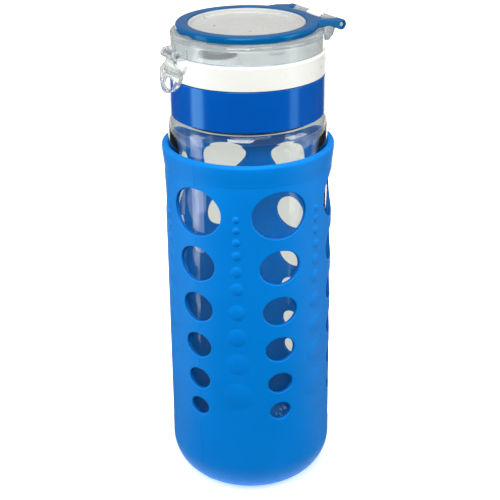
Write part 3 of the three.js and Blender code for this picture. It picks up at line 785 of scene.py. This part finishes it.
def make_sleeve():
    points, faces = [], []
    column_width = 2 * math.pi * sleeve_radius / COLUMNS
    first_column = math.radians(FIRST_COLUMN) * sleeve_radius
    for column in range(COLUMNS):
        middle = first_column + column * column_width
        for (height, half_width), top, bottom in zip(WINDOWS, CELL_EDGES, CELL_EDGES[1:]):
            window_cell(middle, height, half_width, top, bottom, points, faces)
    edge, brim = 1.3, 0.6  # radii of the rim's outer and inner edges
    flare = sleeve_profile(WINDOWS_HIGH, sleeve_top - edge)
    top = arc(rim_radius - edge, sleeve_top - edge, edge, edge, 0, 90, 8)[1:]
    top += arc(sleeve_inner + brim, sleeve_top - brim, brim, brim, 90, 180, 6)
    inside = [(sleeve_inner, z) for z in np.linspace(sleeve_top - brim, WINDOWS_HIGH, 6)[1:]]
    band_of_wall(flare + top + inside, points, faces)
    foot = [(0, 0)] + [(r, 0.0) for r in np.linspace(3, sleeve_radius - sleeve_corner, 5)]
    round_foot = arc(
        sleeve_radius - sleeve_corner, sleeve_corner, sleeve_corner, sleeve_corner, -90, 0, 22
    )
    low_wall = [(sleeve_radius, z) for z in np.linspace(sleeve_corner, WINDOWS_LOW, 8)]
    band_of_wall(foot[:-1] + round_foot + low_wall[1:], points, faces)
    corner = sleeve_corner - SLEEVE_WALL
    inner = [(sleeve_inner, z) for z in np.linspace(WINDOWS_LOW, SLEEVE_BASE + corner, 8)]
    inner += arc(sleeve_inner - corner, SLEEVE_BASE + corner, corner, corner, 0, -90, 18)[1:]
    inner += [(r, SLEEVE_BASE) for r in (12.0, 6.0, 0.0)]
    band_of_wall(inner, points, faces)
    shell = tidy(mesh_object("sleeve", points, faces), 2e-6)

    points, faces = [], []
    for column in range(COLUMNS):
        azimuth = math.radians(FIRST_COLUMN + (column + 0.5) * 360 / COLUMNS)
        for height, radius, rise in BUMPS:
            dome(azimuth, height, radius, rise, points, faces)
    above = sleeve_profile(WINDOWS_HIGH - 2.4, sleeve_top - edge - SINK)
    strips = [above, round_foot[4:] + low_wall[1:]]
    clear = 0.6  # from a window to the line's end
    for (height, half), (next_height, next_half) in zip(WINDOWS, WINDOWS[1:]):
        high = height - half * WINDOW_ASPECT - clear
        low = next_height + next_half * WINDOW_ASPECT + clear
        strips.append([(sleeve_radius, z) for z in np.linspace(low, high, 4)])
    for turn in (0, 180):
        for strip in strips:
            seam(math.radians(FIRST_COLUMN + turn), strip, points, faces)
    relief = tidy(mesh_object("relief", points, faces))

    bpy.ops.object.select_all(action="DESELECT")
    for obj in (relief, shell):
        obj.select_set(True)
    bpy.context.view_layer.objects.active = shell
    bpy.ops.object.join()
    return shaded(shell, 40, False)


placed(make_glass(), clear_glass, "bottle", ["glass_bottle"])
sleeve = placed(make_sleeve(), silicone_blue, "bottle", ["silicone_sleeve"])
sleeve.data.materials.append(silicone_inside_painted_light)
sleeve.data.materials.append(silicone_edge_painted_shade)
SIDEWAYS = 0.5  # a face that turns less than this to the axis or away from it is a window's wall
SKIN, EDGE_DEPTH = 0.1, 0.3  # how near the inner face, and how far below the outer one
for face in sleeve.data.polygons:
    middle = face.center / MM
    radius = math.hypot(middle.x, middle.y)
    facing = (face.normal.x * middle.x + face.normal.y * middle.y) / max(radius, TINY)
    by_windows = WINDOWS_LOW < middle.z < WINDOWS_HIGH
    # The inner face takes the lighter blue of painted light.
    if facing < -SIDEWAYS and radius < sleeve_inner + SKIN:
        face.material_index = 1
    # A window's wall takes the darker blue of painted shade.
    elif abs(facing) < SIDEWAYS and radius < sleeve_radius - EDGE_DEPTH and by_windows:
        face.material_index = 2


# -------- lid


def make_collar():
    profile = [
        (COLLAR_BORE, collar_bottom, 0.35),
        (collar_radius, collar_bottom, 0.6),
        (collar_radius, collar_top, 0.25),
        (REBATE_RADIUS, collar_top, 0.2),
        (REBATE_RADIUS, collar_top - REBATE_DEPTH),
        (COLLAR_BORE, collar_top - REBATE_DEPTH, 0.2),
    ]
    shell = turned("collar", profile, ring=True)
    ridge = thread_ridge(
        "ridge",
        COLLAR_BORE + SINK,
        NECK_RADIUS + THREAD_PLAY,
        neck_foot + THREAD_START - THREAD_LEAD / 2,
    )
    return shaded(join(shell, ridge))


def make_cap():
    skirt_bottom = collar_top - REBATE_DEPTH + GAP
    skirt = REBATE_RADIUS - GAP
    bore = collar_radius - BAND_WALL
    profile = [
        (0, deck_bottom),
        (COLLAR_BORE, deck_bottom),
        (COLLAR_BORE, skirt_bottom, 0.2),
        (skirt, skirt_bottom, 0.2),
        (skirt, band_bottom),
        (collar_radius, band_bottom, 0.25),
        (collar_radius, band_top, 0.7),
        (bore, band_top, 0.5),
        (bore, deck_top, 0.8),
        (0, deck_top),
    ]
    shell = turned("cap", profile)
    mouth = SPOUT_BORE + SPOUT_WALL
    lip = 0.95  # radius of the spout's lip
    profile = [
        (SPOUT_BORE - INSIDE, deck_top - SINK),
        (mouth + 1.6, deck_top - SINK),
        (mouth + 0.5, deck_top + 0.9, 1.2),
        (mouth, spout_top, lip),
        (SPOUT_BORE, spout_top, lip),
    ]
    spout = turned("spout", profile, sides=MEDIUM_ROUND, ring=True, centre_y=SPOUT_Y)
    profile = [
        (bore + GAP, catch_bottom),
        (collar_radius + CATCH_REACH, catch_bottom, 0.4),
        (collar_radius + CATCH_REACH, catch_top, 0.9),
        (bore + GAP, catch_top),
    ]
    catch = turned("catch", profile, ring=True)
    near, far = -bore / 2, -2 * bore
    window = prism(
        "window",
        [(-CATCH_HALF, far), (CATCH_HALF, far), (CATCH_HALF, near), (-CATCH_HALF, near)],
        catch_bottom - PAST,
        catch_top + PAST,
        "Z",
    )
    catch = boolean(catch, "INTERSECT", window)
    post_face = COVER_RADIUS + POST_CLEAR
    post_back = post_face + POST_DEPTH
    outline = [
        (collar_radius - BAND_WALL / 2, deck_bottom),
        (post_face, deck_bottom, 0.8),
        (post_back, deck_bottom + POST_DEPTH, 2.5),
        (post_back, hinge_z, 0.3),
        (post_face, hinge_z),
        (post_face, band_top),
        (collar_radius - BAND_WALL / 2, band_top - SINK),
    ]
    post = prism("post", filleted(outline), -CAP_KNUCKLE, CAP_KNUCKLE, "X", 0.5)
    knuckle = bar("knuckle", BARREL, -CAP_KNUCKLE, CAP_KNUCKLE, hinge_y, hinge_z, 0.3)
    join(shell, spout, catch, post, knuckle)
    low = deck_bottom - PAST
    spout_bore = plug("bore", SPOUT_BORE, low, spout_top - lip, MEDIUM_ROUND, SPOUT_Y)
    vent = plug("vent", VENT_BORE, low, deck_top + PAST, PIN_ROUND, VENT_Y)
    hole = bar("hole", PIN_HOLE, -CAP_KNUCKLE - PAST, CAP_KNUCKLE + PAST, hinge_y, hinge_z)
    return shaded(cut(shell, spout_bore, vent, hole))


def make_gasket():
    low, high = gasket_low[2], gasket_high[2]
    outer = gasket_high[0]
    inner = NECK_BORE + GAP
    profile = [(inner, low, 0.3), (outer, low, 0.4), (outer, high, 0.4), (inner, high, 0.3)]
    return shaded(turned("gasket", profile, ring=True))


def make_valve():
    low, high = valve_low[2], valve_high[2]
    head = (valve_high[0] - valve_low[0]) / 2
    stem, barb = 1.8, 2.8
    barb_top = deck_bottom - GAP
    seat = deck_top + GAP
    profile = [(0, low), (stem / 2, low, 0.3), (barb, barb_top - 0.4, 0.2), (barb, barb_top, 0.15)]
    profile += [(stem, barb_top), (stem, seat, 0.1), (head, seat, 0.15)]
    profile += [(head * 0.86, high - 0.35, 0.8), (0, high)]  # a low dome
    return shaded(turned("valve", profile, SMALL_ROUND, centre_y=VENT_Y))


def make_pin(name, low, high, y, z):
    radius = (high[1] - low[1]) / 2
    return shaded(bar(name, radius, low[0], high[0], y, z, 0.22, PIN_ROUND))


placed(make_collar(), collar_blue, "lid", ["screw_collar"])
placed(make_cap(), plastic_white, "lid", ["spout_cap"])
placed(make_gasket(), silicone_clear, "gasket", ["neck_gasket"])
placed(make_valve(), silicone_clear, "lid", ["vent_valve"])
hinge_rod = make_pin("hinge_rod", hinge_low, hinge_high, hinge_y, hinge_z)
placed(hinge_rod, steel, "lid", ["hinge_pin"])


# -------- flip cover


def make_cover():
    bore = COVER_RADIUS - COVER_WALL
    rim_bore = RIM_RADIUS - RIM_WALL
    profile = [
        (0, cover_deck + DISC_HEIGHT),
        (rim_bore, cover_deck + DISC_HEIGHT, 0.5),
        (rim_bore, cover_top, 0.6),
        (RIM_RADIUS, cover_top, 0.6),
        (RIM_RADIUS, cover_deck, 0.3),
        (COVER_RADIUS, cover_deck, 1.5),
        (COVER_RADIUS, cover_bottom, 0.35),
        (bore, cover_bottom, 0.3),
        (bore, cover_ceiling, 0.9),
        (0, cover_ceiling),
    ]
    shell = turned("cover", profile)
    wall = COVER_RADIUS - COVER_WALL / 2
    foot = cover_bottom + GUSSET_FOOT
    fittings = []
    for side in (1, -1):
        low, high = sorted((side * COVER_KNUCKLE[0], side * COVER_KNUCKLE[1]))
        gusset = filleted(
            [
                (wall - COVER_WALL, cover_deck - FLUSH),
                (wall - COVER_WALL, cover_ceiling),
                (wall - COVER_WALL / 2, foot),
                (COVER_RADIUS, foot, 0.5),
                (hinge_y - BARREL / 2, foot + GUSSET_RISE, 1.5),
                (hinge_y, hinge_z - BARREL + SINK, 0.5),
                (hinge_y, hinge_z + BARREL - SINK),
                (RING_CHORD + 0.6, cover_deck - FLUSH),
            ]
        )
        fittings.append(prism("gusset", gusset, low, high, "X", 0.35))
        fittings.append(bar("knuckle", BARREL, low, high, hinge_y, hinge_z, 0.3))
        low, high = sorted((side * LUG[0], side * LUG[1]))
        lug = filleted(
            [
                (-wall + COVER_WALL, latch_z + LUG_RADIUS),
                (-wall + COVER_WALL, cover_bottom + GAP),
                (-COVER_RADIUS, cover_bottom + GAP, 0.3),
                (latch_y, latch_z - LUG_RADIUS, 1.0),
                (latch_y, latch_z + LUG_RADIUS, 1.0),
            ]
        )
        fittings.append(prism("lug", lug, low, high, "X", 0.3))
        fittings.append(bar("lug_end", LUG_RADIUS, low, high, latch_y, latch_z, 0.35))
    pieces = join(*fittings)
    cut(pieces, plug("inside", bore, cover_bottom - PAST, cover_ceiling))
    profile = [
        (BOSS_BORE, seal_low[2], 0.2),
        (BOSS_RADIUS, seal_low[2], 0.4),
        (BOSS_RADIUS, cover_ceiling + SINK),
        (BOSS_BORE, cover_ceiling + SINK),
    ]
    boss = turned("boss", profile, SMALL_ROUND, ring=True, centre_y=SPOUT_Y)
    join(shell, pieces, boss)
    far = COVER_KNUCKLE[1] + PAST
    hinge_hole = bar("hole", PIN_HOLE, -far, far, hinge_y, hinge_z)
    far = LUG[1] + PAST
    latch_hole = bar("hole", LATCH_HOLE, -far, far, latch_y, latch_z)
    return shaded(cut(shell, hinge_hole, latch_hole))


def make_seal():
    low, high = seal_low[2], seal_high[2]
    inner, stopper, flange = BOSS_RADIUS + GAP, SPOUT_BORE - GAP, seal_high[0]
    seat = spout_top + GAP
    profile = [
        (inner, low, 0.2),
        (stopper - 0.25, low, 0.4),
        (stopper, seat, 0.1),
        (flange, seat, 0.2),
        (flange, high, 0.4),
        (inner, high, 0.2),
    ]
    return shaded(turned("seal", profile, MEDIUM_ROUND, ring=True, centre_y=SPOUT_Y))


cover = placed(make_cover(), clear_plastic, "cover", ["flip_cover"])
cover.data.materials.append(frosted_plastic)
for face in cover.data.polygons:
    middle = face.center / MM
    within_rim = math.hypot(middle.x, middle.y) < RIM_RADIUS + TINY
    if within_rim and middle.z > cover_deck + SINK:
        face.material_index = 1
placed(make_seal(), silicone_dark, "cover", ["spout_seal"])
latch_rod = make_pin("latch_rod", latch_pin_low, latch_pin_high, latch_y, latch_z)
placed(latch_rod, steel, "cover", ["latch_pin"])


# -------- carry ring


def make_ring():
    bore = ring_radius - RING_WIDTH
    profile = [
        (bore - INSIDE, ring_bottom),
        (ring_radius, ring_bottom, 0.9),
        (ring_radius, ring_top, 1.2),
        (bore - INSIDE, ring_top),
    ]
    shell = turned("ring", profile, ring=True)
    half, near = RING_ARM[1], bore / 4
    plate = prism(
        "plate",
        filleted([(-half, near), (half, near), (half, RING_CHORD, 2.0), (-half, RING_CHORD, 2.0)]),
        ring_bottom,
        ring_top,
        "Z",
        0.7,
    )
    parts = [plate]
    for side in (1, -1):
        low, high = sorted((side * RING_ARM[0], side * RING_ARM[1]))
        arm = filleted(
            [
                (bore, ring_bottom + FLUSH),
                (COVER_RADIUS - 0.6 - BARREL, ring_bottom + FLUSH),
                (hinge_y - BARREL / 2, hinge_z - BARREL * ARM_FOOT),
                (hinge_y, hinge_z),
                (hinge_y, hinge_z + BARREL - SINK, 1.0),
                (bore + RING_WIDTH / 2, ring_top - FLUSH, 3.0),
                (bore, ring_top - FLUSH),
            ]
        )
        parts.append(prism("arm", arm, low, high, "X", 0.6))
        parts.append(bar("barrel", BARREL, low, high, hinge_y, hinge_z, 0.45))
    join(shell, *parts)
    hole = plug("hole", bore, ring_bottom - PAST, ring_top + PAST)
    edge = lathe(  # rounds the hole's upper edge
        "edge",
        [
            (0, ring_top - 0.5),
            (bore, ring_top - 0.5),
            (bore + 0.15, ring_top - 0.15),
            (bore + 0.55, ring_top + FLUSH),
            (0, ring_top + FLUSH),
        ],
    )
    notch_radii = (NOTCH_HALF, RING_WIDTH / 2, NOTCH_DEPTH)
    notch = ellipsoid("notch", (0, -ring_radius, ring_bottom), notch_radii)
    far = RING_ARM[1] + PAST
    bore_hole = bar("hole", PIN_HOLE, -far, far, hinge_y, hinge_z)
    return shaded(cut(shell, hole, edge, notch, bore_hole))


placed(make_ring(), ring_blue, "ring", ["carry_ring"])


# -------- latch


def latch_bow(depth):
    """How far forward the latch's middle lies at a depth below its pin."""
    length = latch_z - latch_tip
    curl = max(0.0, (depth - length / 3) / (length * 2 / 3))
    return -latch_y + LATCH_FLARE * curl * curl


def make_latch():
    half = PADDLE_THICK / 2
    length = latch_z - latch_tip
    depths = np.linspace(0, length, 25)
    outside = [(-latch_bow(d) - half, latch_z - d) for d in depths]
    inside = [(-latch_bow(d) + half, latch_z - d) for d in depths[::-1]]
    strap = prism("latch_flap", outside + inside, -PADDLE_HALF, PADDLE_HALF, "X")
    shoulder = latch_z - LUG_RADIUS - PADDLE_BELOW_LUGS
    paddle_top = shoulder - PADDLE_HALF / 2
    front = [(LATCH_HALF, latch_z + LATCH_BARREL), (-LATCH_HALF, latch_z + LATCH_BARREL)]
    front += [(-LATCH_HALF, shoulder)]
    front += arc(0, paddle_top, PADDLE_HALF, paddle_top - latch_tip, 180, 360, 40)
    front += [(LATCH_HALF, shoulder)]
    reach = latch_low[1] - PAST
    paddle = prism("paddle", front, reach, -collar_radius, "Y")
    strap = boolean(strap, "INTERSECT", paddle)
    lip_top = catch_bottom - GAP
    lip_bottom = lip_top - CATCH_HEIGHT
    face = -collar_radius - GAP
    hook = prism(
        "hook",
        [(latch_y, lip_top), (latch_y, lip_bottom - half)]
        + [(face, lip_bottom + half), (face, lip_top)],
        -CATCH_HALF,
        CATCH_HALF,
        "X",
    )
    barrel = bar("barrel", LATCH_BARREL, -LATCH_HALF, LATCH_HALF, latch_y, latch_z)
    join(strap, hook, barrel)
    grip_top = lip_bottom - half - GAP
    grip = prism(
        "grip",
        ellipse(0, grip_top - GRIP_HEIGHT / 2, GRIP_HALF, GRIP_HEIGHT / 2, 40),
        reach,
        -collar_radius + PAST,
        "Y",
    )
    hole = bar("hole", LATCH_HOLE, -LUG[1], LUG[1], latch_y, latch_z)
    cut(strap, grip, hole)
    remesh = strap.modifiers.new("remesh", "REMESH")
    remesh.mode = "VOXEL"
    remesh.voxel_size = LATCH_VOXEL * MM
    smooth = strap.modifiers.new("smooth", "SMOOTH")
    smooth.factor = 0.5
    smooth.iterations = 6
    applied(strap)
    return shaded(strap, 180, False)


placed(make_latch(), latch_plastic, "latch", ["latch"])


# -------- stage, lights, camera

TURN = 57.0  # degrees from the latch's side of the bottle round to the camera


def round_the_bottle(azimuth, distance, height):
    """A point by its azimuth from the camera's side, distance from the axis, and height."""
    a = math.radians(azimuth + TURN)
    return Vector((distance * math.sin(a), -distance * math.cos(a), height)) * MM


def area_light(name, azimuth, distance, height, width, tall, power, aim):
    """A lamp that looks at the bottle's axis, at a height of aim."""
    data = bpy.data.lights.new(name, "AREA")
    data.shape = "RECTANGLE"
    data.size, data.size_y = width * MM, tall * MM
    data.energy = power
    lamp = bpy.data.objects.new(name, data)
    bpy.context.scene.collection.objects.link(lamp)
    lamp.location = round_the_bottle(azimuth, distance, height)
    lamp.rotation_mode = "QUATERNION"
    to_axis = Vector((0, 0, aim * MM)) - lamp.location
    lamp.rotation_quaternion = to_axis.to_track_quat("-Z", "Y")
    lamp.visible_camera = False


def stage_piece(name, corners, faces, material):
    made = mesh_object(name, corners, faces)
    made.data.materials.append(material)
    return made


def matte(name, colour, glow=(1, 1, 1), strength=0.0):
    """A plain surface of the stage, which may glow a little."""
    made, _, shader = new_material(name)
    shader.inputs["Base Color"].default_value = (*colour, 1)
    shader.inputs["Roughness"].default_value = 0.9
    shader.inputs["Emission Color"].default_value = (*glow, 1)
    shader.inputs["Emission Strength"].default_value = strength
    return made


FLOOR, FLOOR_Z = 9000, -0.05
stage_piece(
    "floor",
    [(x * FLOOR, y * FLOOR, FLOOR_Z) for x, y in ((-1, -1), (1, -1), (1, 1), (-1, 1))],
    [[0, 1, 2, 3]],
    matte("floor_white", (0.9, 0.9, 0.9), strength=0.48),
)
CARD_Z = 0.5
CARD_NEAR, CARD_FAR = 48, 1500  # from the bottle's axis


def floor_card(name, spread, middle, near, material):
    """A fan of floor seen only in reflections and through the bottle, never by the camera."""
    steps = 12
    turns = [middle - spread + 2 * spread * i / steps for i in range(steps + 1)]
    rim = [(a, near) for a in turns] + [(a, CARD_FAR) for a in reversed(turns)]
    corners = [tuple(round_the_bottle(a, d, CARD_Z) / MM) for a, d in rim]
    faces = [[i, i + 1, 2 * steps - i, 2 * steps + 1 - i] for i in range(steps)]
    made = stage_piece(name, corners, faces, material)
    made.visible_camera = False
    made.visible_shadow = False
    return made


# Dark cards in front and at the sides are what the collar, the ring and the glass mirror.
card_dark = matte("card_dark", (0.03, 0.03, 0.03))
floor_card("card", 78, 0, CARD_NEAR, card_dark)
for name, side in (("left_card", -1), ("right_card", 1)):
    side_card = floor_card(name, 36, 114 * side, CARD_NEAR, card_dark)
    side_card.visible_transmission = False
    side_card.visible_diffuse = False
# A warm card behind is the beige that shows through the glass.
card_warm = matte("card_warm", (0.76, 0.72, 0.66), (1, 0.95, 0.87), 0.25)
warm_card = floor_card("warm_card", 66, 180, 60, card_warm)
warm_card.visible_glossy = False

world = bpy.data.worlds.new("studio")
bpy.context.scene.world = world
world.use_nodes = True
background = world.node_tree.nodes["Background"]
background.inputs["Color"].default_value = (1, 1, 1, 1)
background.inputs["Strength"].default_value = 0.3

SLEEVE_MIDDLE, LID_MIDDLE, LEVEL = 120, 200, 190
area_light("key", -12, 700, 700, 500, 500, 6.2, SLEEVE_MIDDLE)
area_light("right_fill", 75, 700, 450, 400, 400, 1.8, SLEEVE_MIDDLE)
area_light("left_strip", -75, 330, LEVEL, 120, 400, 0.42, LEVEL)
area_light("right_strip", 68, 330, LEVEL, 80, 400, 0.15, LEVEL)
area_light("top", 10, 150, 900, 500, 500, 2.6, LID_MIDDLE)

CAMERA = (0.43, -546.485, 354.859)  # before it is turned round the bottle
PITCH, ROLL = 0.413, -0.01
camera_data = bpy.data.cameras.new("camera")
camera_data.sensor_width = 36.0
camera_data.lens = 90.85
camera_data.clip_start, camera_data.clip_end = 0.01, 20.0
camera_data.dof.use_dof = False
camera = bpy.data.objects.new("camera", camera_data)
bpy.context.scene.collection.objects.link(camera)
camera.matrix_world = (
    Matrix.Rotation(math.radians(TURN), 4, "Z")
    @ Matrix.Translation(Vector(CAMERA) * MM)
    @ Matrix.Rotation(math.pi / 2 - PITCH, 4, "X")
    @ Matrix.Rotation(ROLL, 4, "Z")
)
bpy.context.scene.camera = camera
bpy.context.scene.view_settings.view_transform = "Standard"
